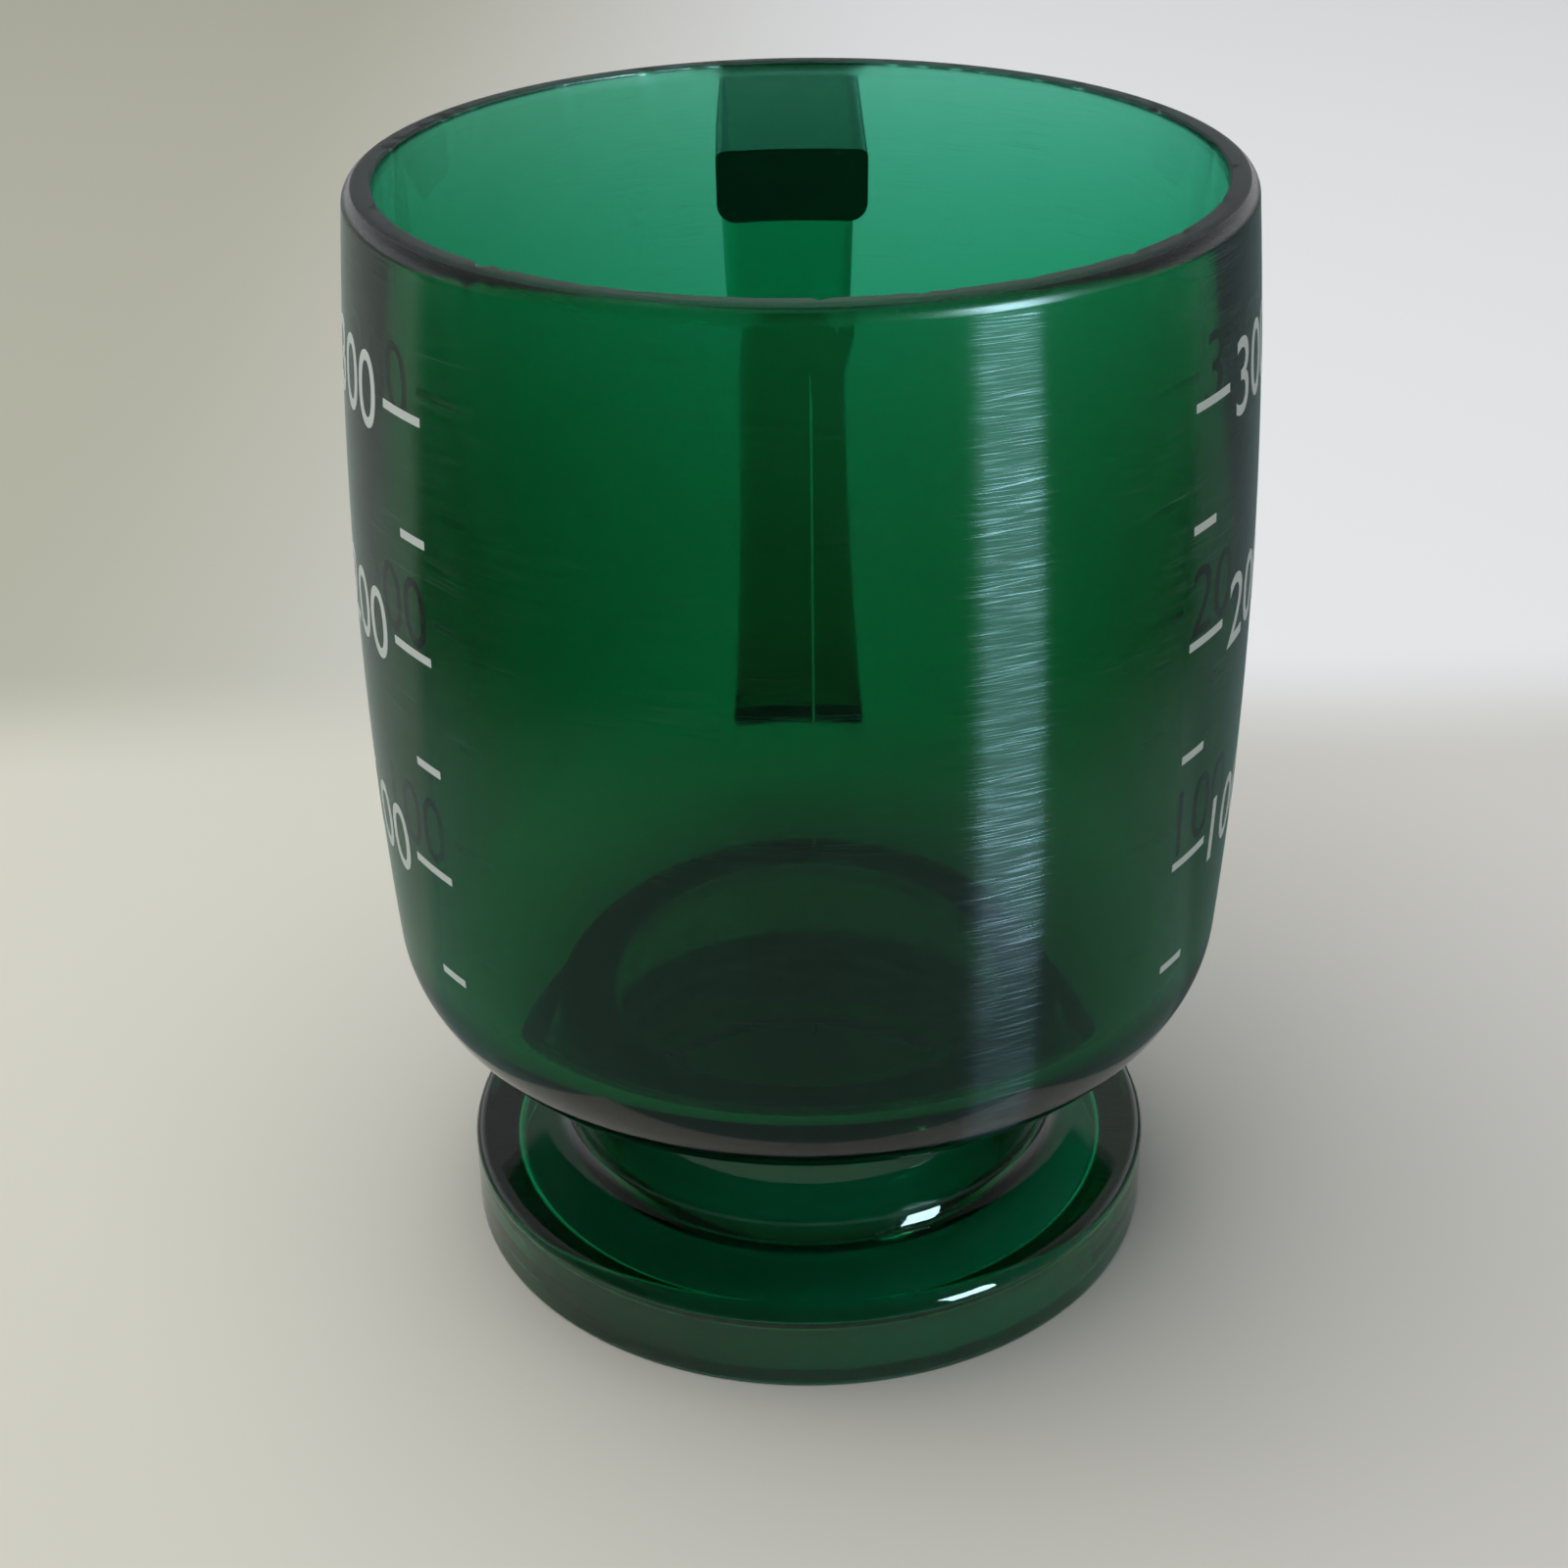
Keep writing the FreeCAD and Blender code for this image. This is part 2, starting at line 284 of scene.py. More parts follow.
def raise_parting_line(bm, lines):
    """A low sharp ridge up the outside of the wall at each of the mould's lines."""
    for vert in bm.verts:
        radius = math.hypot(vert.co.x, vert.co.y)
        outside = radius > side_radius(max(vert.co.z, CORNER_HEIGHT)) - 0.2 * MM
        if not outside or vert.co.z < CORNER_HEIGHT or vert.co.z > LIP - LIP_ROUND:
            continue
        angle = math.atan2(vert.co.x, -vert.co.y)
        for line in lines:
            across = abs(math.remainder(angle - line, math.tau)) * radius
            lift = RIDGE_HEIGHT * max(0, 1 - across / RIDGE_HALF_WIDTH)
            vert.co.x *= 1 + lift / radius
            vert.co.y *= 1 + lift / radius


def nick_lip(bm):
    """Small chips and dents along the lip's inner edge, as left by grinding and use."""
    inner = min(math.hypot(v.co.x, v.co.y) for v in bm.verts if v.co.z > LIP - LIP_EDGE / 2)
    for vert in bm.verts:
        radius = math.hypot(vert.co.x, vert.co.y)
        if vert.co.z < LIP - LIP_EDGE * 1.01 or radius > inner + LIP_EDGE:
            continue
        chip = max(0, noise.noise(vert.co / (1.6 * MM)) - 0.15)
        vert.co.z -= 0.5 * MM * chip
        vert.co.x *= 1 + 0.3 * MM * chip / radius
        vert.co.y *= 1 + 0.3 * MM * chip / radius


def make_bowl(material):
    lines = [PARTING_LINE, math.pi]
    angles = [math.tau * k / SEGMENTS for k in range(SEGMENTS)]
    for line in lines:
        half = RIDGE_HALF_WIDTH / BELLY_RADIUS
        angles = [a for a in angles if abs(math.remainder(a - line, math.tau)) > 1.5 * half]
        angles += [line - half, line, line + half]
    bm = turned(bowl_outline(), sorted(angles), closed=False)
    raise_parting_line(bm, lines)
    nick_lip(bm)
    return piece_from("green_bowl", bm, material)


def make_foot(material):
    angles = [math.tau * k / SEGMENTS for k in range(SEGMENTS)]
    return piece_from("green_foot", turned(foot_outline(), angles, closed=True), material)


def half_width(height):
    """Half of the handle's width at a height: straight above the shoulder, waisted below."""
    narrowing = (HANDLE_WIDTH - HANDLE_WAIST) / 2
    drop = SHOULDER_HEIGHT - WAIST_HEIGHT
    radius = (drop**2 + narrowing**2) / (4 * narrowing)
    if height > SHOULDER_HEIGHT:
        return HANDLE_WIDTH / 2
    if height > (SHOULDER_HEIGHT + WAIST_HEIGHT) / 2:
        return HANDLE_WIDTH / 2 - radius + math.sqrt(radius**2 - (SHOULDER_HEIGHT - height) ** 2)
    return HANDLE_WAIST / 2 + radius - math.sqrt(radius**2 - (height - WAIST_HEIGHT) ** 2)


def along_slope(point, degrees, reach):
    """The point a horizontal distance on from another, along a line that falls towards the bowl."""
    return Vector((point.x - reach, point.y - reach * math.tan(math.radians(degrees))))


def spread(start, end, count):
    """Points from start to end in equal steps, both included."""
    return [start.lerp(end, k / count) for k in range(count + 1)]


def upper_corner():
    """The corner between upper arm and grip: points of the outer face and of the finger side."""
    outside, top = handle_high.y, handle_high.z
    middle = Vector((outside - HANDLE_TOP_CORNER, top - HANDLE_TOP_CORNER))
    slope = math.radians(ARM_SLOPE)
    gap_at = outside - GRIP_THICKNESS - GAP_TOP_CORNER
    ceiling = ARM_UNDERSIDE + (gap_at - BELLY_RADIUS) * math.tan(slope)
    gap_middle = Vector((gap_at, ceiling - GAP_TOP_CORNER / math.cos(slope)))
    outer = arc(middle, HANDLE_TOP_CORNER, 90, 0, count=16)
    finger = arc(gap_middle, GAP_TOP_CORNER, 90 + ARM_SLOPE, 0, count=16)
    return outer, finger


def sweep():
    """The bend of the grip towards the bowl."""
    middle = Vector((handle_high.y - SWEEP_RADIUS, SWEEP_HEIGHT))
    outer = arc(middle, SWEEP_RADIUS, 0, OUTER_SLOPE - 90, count=16)
    finger = arc(middle, SWEEP_RADIUS - GRIP_THICKNESS, 0, FINGER_SLOPE - 90, count=16)
    return outer, finger


def tail(outer_start, finger_start):
    """From the end of the sweep down to the flat lower end. The finger side runs on into the wall."""
    end = handle_low.z
    tail_start = polar(Vector((TAIL_REACH + TAIL_RADIUS, 0)), TAIL_RADIUS, OUTER_SLOPE + 90)
    drop = along_slope(outer_start, OUTER_SLOPE, outer_start.x - tail_start.x).y - tail_start.y
    middle = Vector((TAIL_REACH + TAIL_RADIUS, drop))
    lower_end = 180 - math.degrees(math.asin((end - middle.y) / TAIL_RADIUS))
    bend = arc(middle, TAIL_RADIUS, OUTER_SLOPE + 90, lower_end, count=8)
    root = along_slope(finger_start, FINGER_SLOPE, finger_start.x - ROOT_DEPTH)
    outer = spread(outer_start, bend[0], 24)[1:] + bend[1:]
    finger = spread(finger_start, root, 24)[1:] + spread(root, Vector((ROOT_DEPTH, end)), 8)[1:]
    return outer, finger


def section_shape(thickness, half):
    """Rounded oblong across the handle: points (fraction from finger side to outside, distance sideways)."""
    inner, outer = HANDLE_INNER_EDGE, HANDLE_OUTER_EDGE
    right = [Vector((x, 0)) for x in (0, (half - inner) / 2)]
    right += arc(Vector((half - inner, inner)), inner, -90, 0, step=9)
    right.append(Vector((half, (thickness + inner - outer) / 2)))
    right += arc(Vector((half - outer, thickness - outer)), outer, 0, 90, step=15)
    right += [Vector((x, thickness)) for x in ((half - outer) / 2, 0)]
    left = [Vector((-p.x, p.y)) for p in reversed(right[1:-1])]
    return [(p.y / thickness, p.x) for p in right + left]


def section(outer, finger):
    """The handle's cross-section between a point of its outer surface and one of its finger side."""
    middle = (outer.y + finger.y) / 2
    places = []
    for share, sideways in section_shape((outer - finger).length, half_width(middle)):
        at = finger.lerp(outer, share)
        places.append(Vector((sideways * half_width(at.y) / half_width(middle), at.x, at.y)))
    return places


def on_wall(point):
    """The point moved along Y to just inside the bowl's outer surface."""
    radius = side_radius(point.z) - JOIN
    return Vector((point.x, math.sqrt(radius**2 - point.x**2), point.z))


def reach_wall(start, end):
    """Where the line from a point outside the bowl to one inside its wall gets just under the surface."""
    outside, inside = start, end
    for _ in range(30):
        middle = (outside + inside) / 2
        if middle.y > on_wall(middle).y:
            outside = middle
        else:
            inside = middle
    return inside


def run_to_wall(start, end, steps=14):
    """Sections of an arm from its outer end to the bowl's wall."""
    roots = [reach_wall(a, b) for a, b in zip(start, end)]
    return [[a.lerp(b, k / steps) for a, b in zip(start, roots)] for k in range(1, steps + 1)]


def make_handle(material):
    outer, finger = upper_corner()
    start = section(outer[0], finger[0])
    under_root = along_slope(finger[0], ARM_SLOPE, finger[0].x - ROOT_DEPTH)
    upper_arm = run_to_wall(start, section(Vector((ROOT_DEPTH, handle_high.z)), under_root))
    bend_outer, bend_finger = sweep()
    steps = math.ceil((outer[-1] - bend_outer[0]).length / (2 * MM))
    tail_outer, tail_finger = tail(bend_outer[-1], bend_finger[-1])
    outer += spread(outer[-1], bend_outer[0], steps)[1:-1] + bend_outer + tail_outer
    finger += spread(finger[-1], bend_finger[0], steps)[1:-1] + bend_finger + tail_finger
    loop = [[outside_wall(place) for place in section(a, b)] for a, b in zip(outer, finger)]
    bm = bmesh.new()
    rings = [[bm.verts.new(place) for place in ring] for ring in upper_arm[::-1] + loop]
    for ring, following in zip(rings, rings[1:]):
        join_rings(bm, ring, following)
    close_root(bm, rings[0])
    close_flat(bm, rings[-1])
    return piece_from("green_handle", bm, material)


def outside_wall(place):
    """The place itself, or the spot just under the bowl's surface if it lies deeper in the wall."""
    surface = on_wall(place)
    return surface if place.y < surface.y else place


def close_flat(bm, ring):
    """Closes the tail's flat end."""
    middle = sum((v.co for v in ring), Vector()) / len(ring)
    centre = bm.verts.new(middle)
    for k in range(len(ring)):
        bm.faces.new((ring[k], ring[(k + 1) % len(ring)], centre))


def close_root(bm, ring):
    """Closes an arm's end with rings that shrink to a point and follow the bowl's wall."""
    middle = sum((v.co for v in ring), Vector()) / len(ring)
    count = 6
    for k in range(1, count):
        inner = [bm.verts.new(on_wall(middle.lerp(v.co, 1 - k / count))) for v in ring]
        join_rings(bm, ring, inner)
        ring = inner
    tip = bm.verts.new(on_wall(middle))
    for k in range(len(ring)):
        bm.faces.new((ring[k], ring[(k + 1) % len(ring)], tip))


def join_rings(bm, ring, following):
    for k in range(len(ring)):
        after = (k + 1) % len(ring)
        bm.faces.new((ring[k], ring[after], following[after], following[k]))


# ---- graduations ----------------------------------------------------------------------------------------


def fill_heights(amounts):
    """Height of the liquid's surface for each amount in millilitres, from the inside of the bowl."""
    inner = [p for p in bowl_inside() if p.y < LIP - LIP_EDGE]
    heights, filled = {}, 0.0
    for low, high in zip(inner, inner[1:]):
        step = high.y - low.y
        mean_area = math.pi * (low.x**2 + low.x * high.x + high.x**2) / 3
        volume = mean_area * step * 1e6
        for amount in amounts:
            if filled < amount <= filled + volume:
                heights[amount] = low.y + step * (amount - filled) / volume
        filled += volume
    return heights


def number_mesh(text, height):
    """Flat outline of a number as a mesh: its left lower corner at the origin."""
    curve = bpy.data.curves.new("number", "FONT")
    curve.body = text
    curve.resolution_u = 6
    writing = bpy.data.objects.new("number", curve)
    bpy.context.scene.collection.objects.link(writing)
    bpy.context.view_layer.update()
    flat = bpy.data.meshes.new_from_object(writing.evaluated_get(bpy.context.evaluated_depsgraph_get()))
    bpy.data.objects.remove(writing)
    bpy.data.curves.remove(curve)
    bm = bmesh.new()
    bm.from_mesh(flat)
    bpy.data.meshes.remove(flat)
    bmesh.ops.remove_doubles(bm, verts=bm.verts, dist=1e-6)
    left = min(v.co.x for v in bm.verts)
    low = min(v.co.y for v in bm.verts)
    scale = height / (max(v.co.y for v in bm.verts) - low)
    for vert in bm.verts:
        vert.co = Vector(((vert.co.x - left) * scale, (vert.co.y - low) * scale, 0))
    return bm


def width_of(bm):
    return max(v.co.x for v in bm.verts)


def add_flat(bm, other, across, up):
    """Copies a flat mesh into another one, shifted."""
    copies = {v: bm.verts.new((v.co.x + across, v.co.y + up, 0)) for v in other.verts}
    for face in other.faces:
        bm.faces.new([copies[v] for v in face.verts])


def add_tick(bm, left, right, middle):
    half = TICK_THICKNESS / 2
    corners = ((left, middle - half), (right, middle - half), (right, middle + half), (left, middle + half))
    bm.faces.new([bm.verts.new((x, y, 0)) for x, y in corners])


def cut_finely(bm, spacing, axis):
    """Cuts a flat mesh into narrow strips, so that it can bend."""
    places = [v.co[axis] for v in bm.verts]
    normal = Vector((0, 0, 0))
    normal[axis] = 1
    for k in range(math.floor(min(places) / spacing) + 1, math.ceil(max(places) / spacing)):
        everything = bm.verts[:] + bm.edges[:] + bm.faces[:]
        bmesh.ops.bisect_plane(bm, geom=everything, plane_co=normal * (k * spacing), plane_no=normal)


def make_graduations(name, material, side):
    """Ticks and numbers for the amount in the mug, on one side of it: side is 1 for +X and -1 for -X."""
    bm = bmesh.new()
    for amount, height in fill_heights(range(50, 301, 50)).items():
        numbered = amount % 100 == 0
        length = LONG_TICK if numbered else SHORT_TICK
        add_tick(bm, *sorted((side * SCALE_START, side * (SCALE_START + length))), height)
        if numbered:
            number = number_mesh(str(amount), NUMBER_HEIGHT)
            start = SCALE_START + LONG_TICK + NUMBER_GAP
            left = start if side > 0 else -start - width_of(number)
            add_flat(bm, number, left, height - NUMBER_HEIGHT / 2)
            number.free()
    cut_finely(bm, 0.5 * MM, 0)
    cut_finely(bm, 1.5 * MM, 1)
    bend_onto_wall(bm)
    return piece_from(name, bm, material)


def bend_onto_wall(bm):
    """Turns a flat mesh into a thin closed film on the bowl's outer surface."""
    front = {v: v.co.copy() for v in bm.verts}
    faces = [list(face.verts) for face in bm.faces]
    rims = []
    for edge in bm.edges:
        if len(edge.link_faces) == 1:
            a, b = edge.verts
            order = list(edge.link_faces[0].verts)
            rims.append((a, b) if order[(order.index(a) + 1) % len(order)] is b else (b, a))
    back = {v: bm.verts.new(v.co) for v in front}
    for corners in faces:
        bm.faces.new([back[v] for v in reversed(corners)])
    for a, b in rims:
        bm.faces.new((b, a, back[a], back[b]))
    for vert, flat in front.items():
        angle = flat.x / BELLY_RADIUS
        for copy, lift in ((vert, INK_THICKNESS), (back[vert], -INK_THICKNESS / 4)):
            radius = side_radius(flat.y) + lift
            copy.co = Vector((radius * math.sin(angle), -radius * math.cos(angle), flat.y))


# ---- materials ------------------------------------------------------------------------------------------


class Reading:
    """An output of a shader node. Arithmetic on it adds Math nodes, and ["Name"] is another output."""

    def __init__(self, tree, socket):
        self.tree = tree
        self.socket = socket

    def __getitem__(self, name):
        return Reading(self.tree, self.socket.node.outputs[name])

    def maths(self, operation, first, second=0.0):
        return add_node(self.tree, "ShaderNodeMath", {"operation": operation}, {0: first, 1: second})

    def __add__(self, other):
        return self.maths("ADD", self, other)

    def __sub__(self, other):
        return self.maths("SUBTRACT", self, other)

    def __mul__(self, other):
        return self.maths("MULTIPLY", self, other)

    def __rsub__(self, other):
        return self.maths("SUBTRACT", other, self)

    __radd__ = __add__
    __rmul__ = __mul__


def add_node(tree, kind, settings=None, sockets=None):
    """Adds a node, sets it up, then fills its sockets with values or links. Returns its first output."""
    node = tree.nodes.new(kind)
    for name, value in (settings or {}).items():
        setattr(node, name, value)
    for name, value in (sockets or {}).items():
        if isinstance(value, Reading):
            tree.links.new(value.socket, node.inputs[name])
        else:
            node.inputs[name].default_value = value
    return Reading(tree, node.outputs[0]) if node.outputs else None


def new_material(name):
    material = bpy.data.materials.new(name)
    material.use_nodes = True
    material.node_tree.nodes.clear()
    return material, material.node_tree


def rise(tree, value, low, high):
    """0 below low, 1 above high, smooth between."""
    return add_node(
        tree,
        "ShaderNodeMapRange",
        {"interpolation_type": "SMOOTHSTEP"},
        {"Value": value, "From Min": low, "From Max": high},
    )


def cylindrical(tree):
    """Place on the mug as lengths: round it, up it, and out from its axis, in metres."""
    place = add_node(tree, "ShaderNodeTexCoord")["Object"]
    axes = add_node(tree, "ShaderNodeSeparateXYZ", sockets={0: place})
    x, y, z = axes["X"], axes["Y"], axes["Z"]
    angle = x.maths("ARCTAN2", x, 0 - y)
    radius = x.maths("SQRT", x * x + y * y)
    return angle * BELLY_RADIUS, z, radius


def streaks(tree, around, up, length, spacing, seed):
    """Noise drawn out round the mug: streaks of about that length, one above another."""
    at = add_node(
        tree, "ShaderNodeCombineXYZ", sockets={"X": around * (1 / length), "Y": up * (1 / spacing), "Z": seed}
    )
    return add_node(
        tree, "ShaderNodeTexNoise", sockets={"Vector": at, "Scale": 1.0, "Detail": 2.0, "Roughness": 0.6}
    )


def absorb(tree, depth=1.0):
    """Depth below 1 stands in for walls thinner than modelled."""
    most = max(ABSORPTION) * 1.0001
    colour = [1 - share / most for share in ABSORPTION]
    return add_node(
        tree, "ShaderNodeVolumeAbsorption", sockets={"Color": (*colour, 1), "Density": most * depth}
    )


def finish_material(tree, surface, volume=None):
    sockets = {"Surface": surface}
    if volume:
        sockets["Volume"] = volume
    add_node(tree, "ShaderNodeOutputMaterial", sockets=sockets)


def clear_plastic(tree, roughness, normal):
    return add_node(
        tree,
        "ShaderNodeBsdfPrincipled",
        sockets={
            "Base Color": (1, 1, 1, 1),
            "Roughness": roughness,
            "IOR": REFRACTION,
            "Transmission Weight": 1.0,
            "Normal": normal,
        },
    )


def bowl_plastic():
    """Clear green plastic, rubbed with fine scratches round the side, with a ground lip."""
    material, tree = new_material("bowl_plastic")
    around, up, out = cylindrical(tree)
    outer_side = rise(tree, out, BELLY_RADIUS - 4.0 * MM, BELLY_RADIUS - 3.0 * MM)
    ground = rise(tree, up, LIP - 0.25 * MM, LIP - 0.12 * MM)
    dulled = rise(tree, up, LIP - 1.9 * MM, LIP - 1.2 * MM)  # the rounding below the ground land
    low = 1 - rise(tree, up, 42 * MM, 64 * MM)
    slanted = up + around * 0.03
    fine = streaks(tree, around, slanted, 8 * MM, 0.11 * MM, 1.0)
    long = streaks(tree, around, up - around * 0.05, 26 * MM, 0.22 * MM, 5.0)
    patch = streaks(tree, around, up, 14 * MM, 9 * MM, 9.0)
    worn = rise(tree, patch, 0.35, 0.7)
    lines = rise(tree, fine, 0.5, 0.74) * (0.4 + worn * 0.6) + rise(tree, long, 0.64, 0.74) * 0.6
    scratches = lines * outer_side
    grain = add_node(tree, "ShaderNodeTexNoise", sockets={"Scale": 9000.0, "Detail": 1.0})
    height = scratches * -0.0015 * MM + grain * ground * 0.05 * MM
    bumped = add_node(
        tree, "ShaderNodeBump", sockets={"Strength": 1.0, "Distance": 1.0, "Height": height}
    )
    plastic = clear_plastic(tree, 0.025 + dulled * 0.22 + ground * 0.28 + scratches * 0.05, bumped)
    sheen = add_node(
        tree,
        "ShaderNodeBsdfAnisotropic",
        sockets={"Color": (0.85, 0.97, 1, 1), "Roughness": 0.3, "Anisotropy": 0.85},
    )
    share = outer_side * (0.015 + scratches * 0.14) * (1 - dulled) * (1 - low * 0.7)
    surface = add_node(tree, "ShaderNodeMixShader", sockets={0: share, 1: plastic, 2: sheen})
    finish_material(tree, surface, absorb(tree))
    return material


def moulded_plastic(name, seed, depth=1.0):
    """The same plastic as it left the mould: polished, with a few faint specks and scuffs."""
    material, tree = new_material(name)
    around, up, _ = cylindrical(tree)
    specks = add_node(tree, "ShaderNodeTexNoise", sockets={"Scale": 700.0, "Detail": 2.0})
    scuffs = streaks(tree, around, up, 6 * MM, 0.3 * MM, seed)
    marks = rise(tree, specks, 0.66, 0.74) + rise(tree, scuffs, 0.66, 0.76)
    bumped = add_node(
        tree, "ShaderNodeBump", sockets={"Strength": 1.0, "Distance": 1.0, "Height": marks * -0.002 * MM}
    )
    plastic = clear_plastic(tree, 0.02 + marks * 0.08, bumped)
    finish_material(tree, plastic, absorb(tree, depth))
    return material


def white_ink():
    """Screen-printed white ink: nearly solid, with pinholes and a slightly uneven film."""
    material, tree = new_material("white_ink")
    cloud = add_node(tree, "ShaderNodeTexNoise", sockets={"Scale": 900.0, "Detail": 3.0})
    colour = add_node(
        tree,
        "ShaderNodeMix",
        {"data_type": "RGBA"},
        {0: rise(tree, cloud, 0.35, 0.65), 6: (0.62, 0.70, 0.68, 1), 7: (0.78, 0.84, 0.83, 1)},
    )[2]
    film = add_node(
        tree, "ShaderNodeBump", sockets={"Strength": 1.0, "Distance": 1.0, "Height": cloud * 0.01 * MM}
    )
    surface = add_node(
        tree,
        "ShaderNodeBsdfPrincipled",
        sockets={"Base Color": colour, "Roughness": 0.45 + cloud * 0.1, "Normal": film},
    )
    finish_material(tree, surface)
    return material


# ---- the pieces -----------------------------------------------------------------------------------------

bowl = make_bowl(bowl_plastic())
foot = make_foot(moulded_plastic("foot_plastic", 3.0, FOOT_DEPTH))
handle = make_handle(moulded_plastic("handle_plastic", 7.0))
for piece, node in ((bowl, "bowl"), (foot, "pedestal_foot"), (handle, "handle")):
    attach(piece, "root")
    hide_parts(node)
ink = white_ink()
for name, side in (("right_graduations", 1), ("left_graduations", -1)):
    piece = make_graduations(name, ink, side)
    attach(piece, "root")


# ---- floor, light and camera ----------------------------------------------------------------------------

FLOOR_SIZE = 6.0
OVERHEAD_POWER = 28
WINDOW_POWER = 34
WINDOW_AZIMUTH = 48.5  # degrees to the right of the front
WINDOW_DISTANCE = 1.5
WINDOW_HEIGHT = 0.5  # of its middle
SHADE_GAP = 0.05  # the shade cards, which only mirroring surfaces see, start this far from the mug's axis
SHADE_BACK = 0.7  # and reach this far back


def plane(name, material, corners, height):
    bm = bmesh.new()
    (x0, y0), (x1, y1) = corners
    bm.faces.new([bm.verts.new((x, y, height)) for x, y in ((x0, y0), (x1, y0), (x1, y1), (x0, y1))])
    mesh = bpy.data.meshes.new(name)
    bm.to_mesh(mesh)
    bm.free()
    mesh.materials.append(material)
    sheet = bpy.data.objects.new(name, mesh)
    bpy.context.scene.collection.objects.link(sheet)
    return sheet


def blend(tree, share, first, second):
    """One colour, or a reading of one, passing into another."""
    return add_node(tree, "ShaderNodeMix", {"data_type": "RGBA"}, {0: share, 6: first, 7: second})[2]


def floor_material():
    """Pale floor with painted light: warmer on the left, cooler on the right, lighter behind the mug."""
    material, tree = new_material("pale_floor")
    place = add_node(tree, "ShaderNodeTexCoord")["Object"]
    axes = add_node(tree, "ShaderNodeSeparateXYZ", sockets={0: place})
    x, y = axes["X"], axes["Y"]
    # painted light and shade near the mug: lighter on the left, darker on the right
    near = blend(tree, rise(tree, x, -0.15, 0.12), (0.64, 0.63, 0.56, 1), (0.59, 0.59, 0.57, 1))
    # painted light behind the mug, in place of a lit wall: painted shade on the left, bright on the right
    far_painted_light = blend(tree, rise(tree, x, -0.14, 0.07), (0.44, 0.44, 0.37, 1), (0.78, 0.80, 0.83, 1))
    colour = blend(tree, rise(tree, y, 0.09, 0.13), near, far_painted_light)
    surface = add_node(
        tree,
        "ShaderNodeBsdfPrincipled",
        sockets={"Base Color": colour, "Roughness": 0.6, "Specular IOR Level": 0.0},
    )
    finish_material(tree, surface)
    return material


def shade_material():
    """What shiny sides mirror in place of the floor: dim close by, dark in front, less so at the sides."""
    material, tree = new_material("shade_card")
    place = add_node(tree, "ShaderNodeTexCoord")["Object"]
    axes = add_node(tree, "ShaderNodeSeparateXYZ", sockets={0: place})
    x, y = axes["X"], axes["Y"]
    radius = x.maths("SQRT", x * x + y * y)
    turn = x.maths("ABSOLUTE", x.maths("ARCTAN2", x, 0 - y))
    dark, dim = (0.003, 0.012, 0.012, 1), (0.19, 0.28, 0.27, 1)
    left, right = (0.28, 0.33, 0.3, 1), (0.1, 0.15, 0.145, 1)
    side = blend(tree, rise(tree, x, -0.01, 0.01), left, right)
    front = blend(tree, rise(tree, radius, 0.135, 0.22), dim, dark)
    colour = blend(tree, rise(tree, turn, math.radians(98), math.radians(106)), front, side)
    surface = add_node(
        tree, "ShaderNodeBsdfPrincipled", sockets={"Base Color": colour, "Roughness": 1.0}
    )
    finish_material(tree, surface)
    return material


def set_the_stage():
    half = FLOOR_SIZE / 2
    plane("floor", floor_material(), ((-half, -half), (half, half)), 0)
    shade = shade_material()
    near, back = SHADE_GAP, SHADE_BACK
    for name, corners in (
        ("front_card", ((-half, -half), (half, -near))),
        ("left_card", ((-half, -near), (-near, back))),
        ("right_card", ((near, -near), (half, back))),
    ):
        card = plane(name, shade, corners, 0.5 * MM)
        card.visible_camera = False
        card.visible_diffuse = False
        card.visible_transmission = False
        card.visible_shadow = False


def soft_world():
    """Soft light all round: a bright wall behind the mug, dimmer above, and dim behind the camera."""
    world = bpy.data.worlds.new("soft_room")
    bpy.context.scene.world = world
    world.use_nodes = True
    tree = world.node_tree
    tree.nodes.clear()
    direction = add_node(tree, "ShaderNodeTexCoord")["Generated"]
    axes = add_node(tree, "ShaderNodeSeparateXYZ", sockets={0: direction})
    wall = 0.85 - rise(tree, axes["Z"], 0.15, 0.5) * 0.5
    strength = 0.04 + rise(tree, axes["Y"], -0.35, 0.35) * wall
    light = add_node(
        tree, "ShaderNodeBackground", sockets={"Color": (0.95, 0.96, 1, 1), "Strength": strength}
    )
    add_node(tree, "ShaderNodeOutputWorld", sockets={"Surface": light})


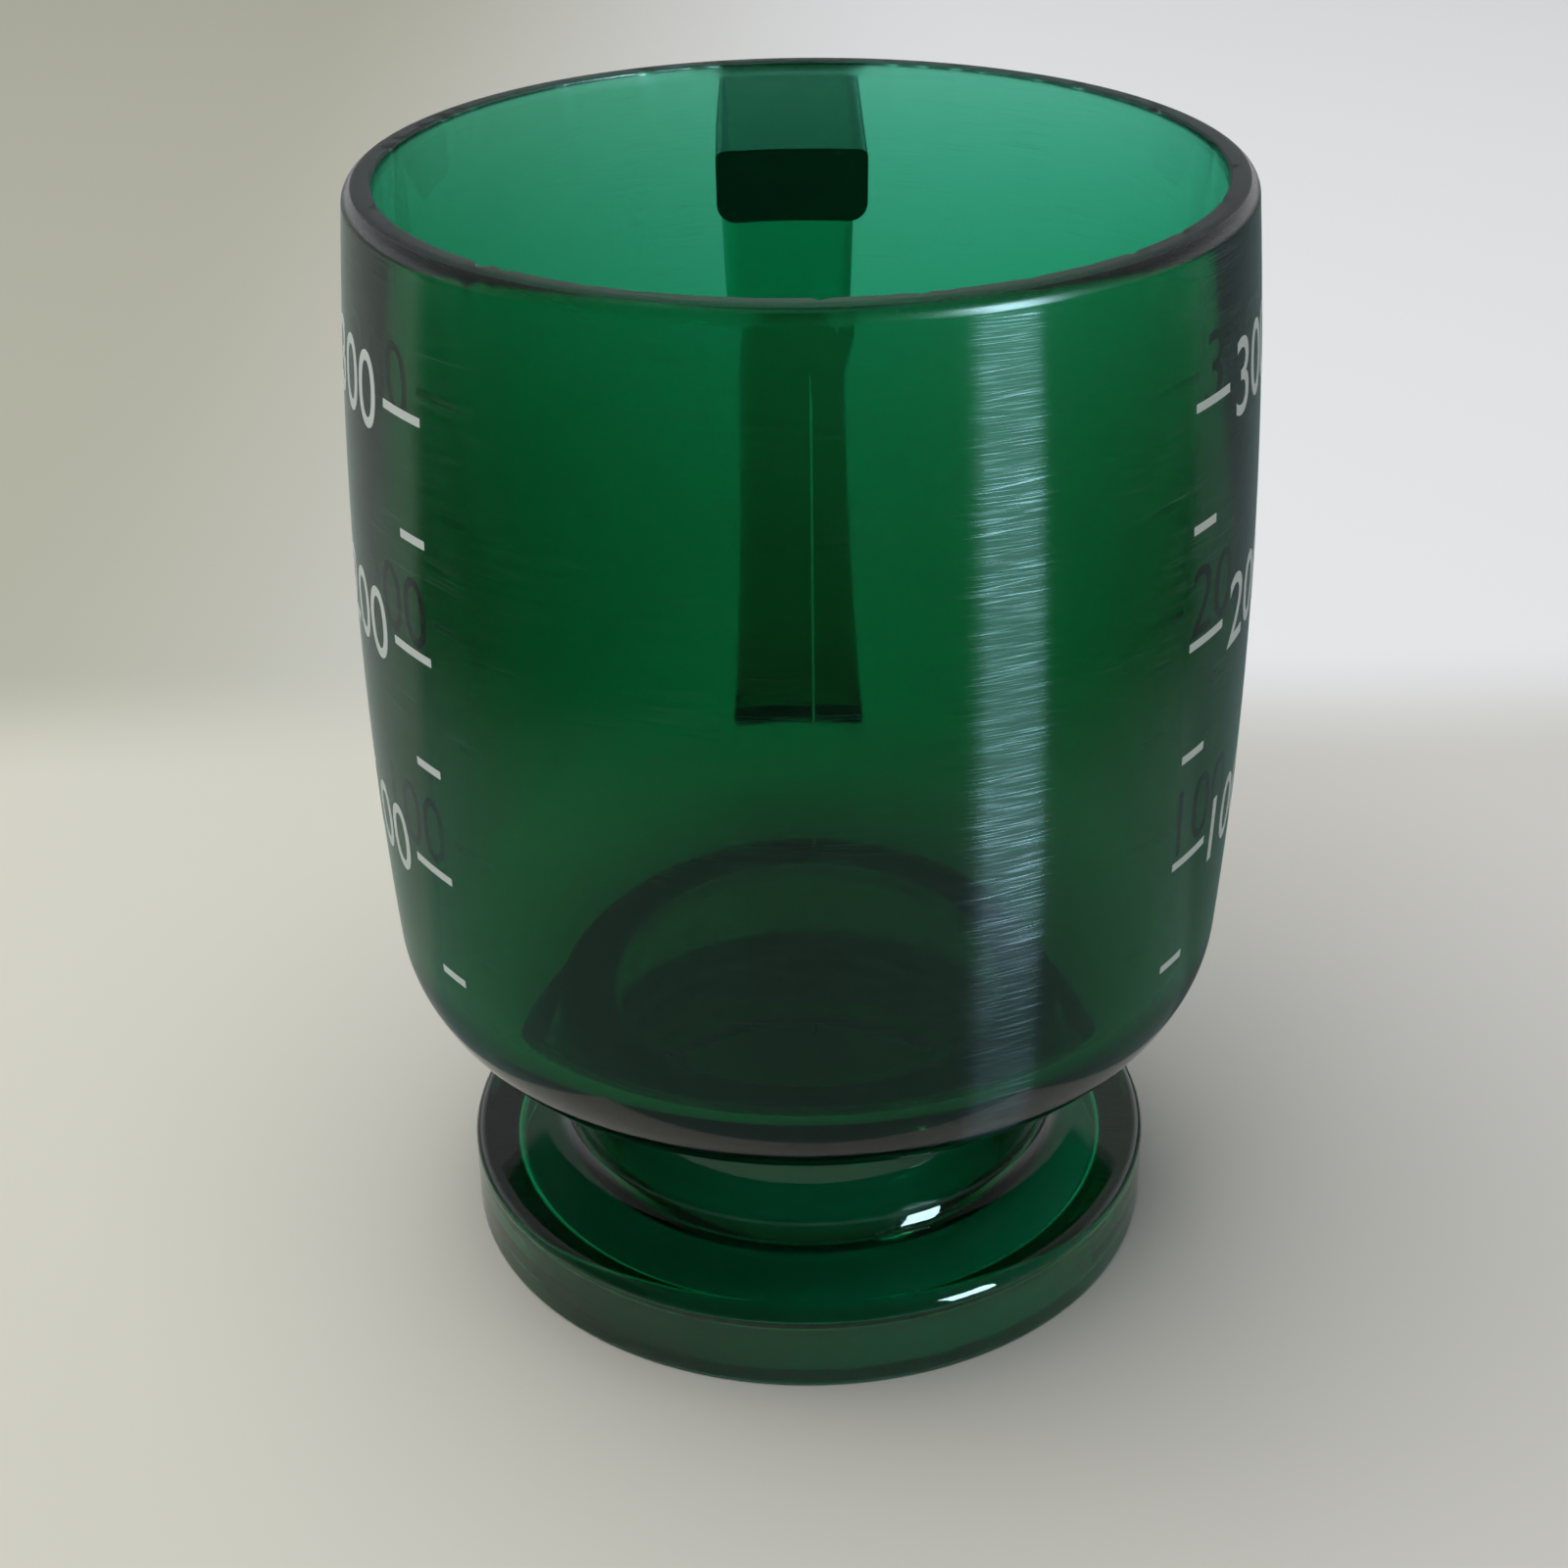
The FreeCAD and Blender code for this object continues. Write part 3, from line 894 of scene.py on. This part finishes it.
def area_light(name, place, aim, width, height, power, colour=(1, 1, 1)):
    data = bpy.data.lights.new(name, "AREA")
    data.shape = "RECTANGLE"
    data.size = width
    data.size_y = height
    data.energy = power
    data.color = colour
    lamp = bpy.data.objects.new(name, data)
    bpy.context.scene.collection.objects.link(lamp)
    lamp.location = place
    lamp.rotation_euler = (aim - place).to_track_quat("-Z", "Y").to_euler()
    return lamp


def window_light():
    """A tall bright window on the right in front, which the fine scratches smear into an upright strip."""
    azimuth = math.radians(WINDOW_AZIMUTH)
    place = Vector((math.sin(azimuth), -math.cos(azimuth), 0)) * WINDOW_DISTANCE
    place.z = WINDOW_HEIGHT
    lamp = area_light("window", place, Vector((0, 0, 0.07)), 0.42, 0.8, WINDOW_POWER, (0.55, 0.85, 1))
    lamp.visible_diffuse = False
    lamp.visible_transmission = False


def overhead_light():
    """A wide soft light over the mug that only the floor and the ink take up."""
    place = Vector((-0.3, -0.1, 1.6))
    lamp = area_light("softbox", place, Vector((0, 0.05, 0)), 1.6, 1.6, OVERHEAD_POWER, (1, 0.985, 0.95))
    lamp.visible_glossy = False
    lamp.visible_transmission = False


def place_camera():
    """A normal lens, close to the mug and looking down into it."""
    down, roll = math.radians(28.83), math.radians(-0.8)
    turn = math.radians(-0.65)
    forward = Vector((0, math.cos(down), -math.sin(down)))
    level = Vector((1, 0, 0))
    up = level.cross(forward)
    right = math.cos(roll) * level + math.sin(roll) * up
    above = math.cos(roll) * up - math.sin(roll) * level
    data = bpy.data.cameras.new("camera")
    data.sensor_width = 36
    data.lens = 59.44
    camera = bpy.data.objects.new("camera", data)
    bpy.context.scene.collection.objects.link(camera)
    place = Matrix((right, above, -forward)).transposed().to_4x4()
    place.translation = Vector((-2.2 * MM, -231.4 * MM, 175.4 * MM))
    camera.matrix_world = Matrix.Rotation(turn, 4, "Z") @ place
    bpy.context.scene.camera = camera


set_the_stage()
soft_world()
window_light()
overhead_light()
place_camera()
scene = bpy.context.scene
scene.view_settings.view_transform = "Standard"
scene.cycles.max_bounces = 16
scene.cycles.transmission_bounces = 16
scene.cycles.glossy_bounces = 6
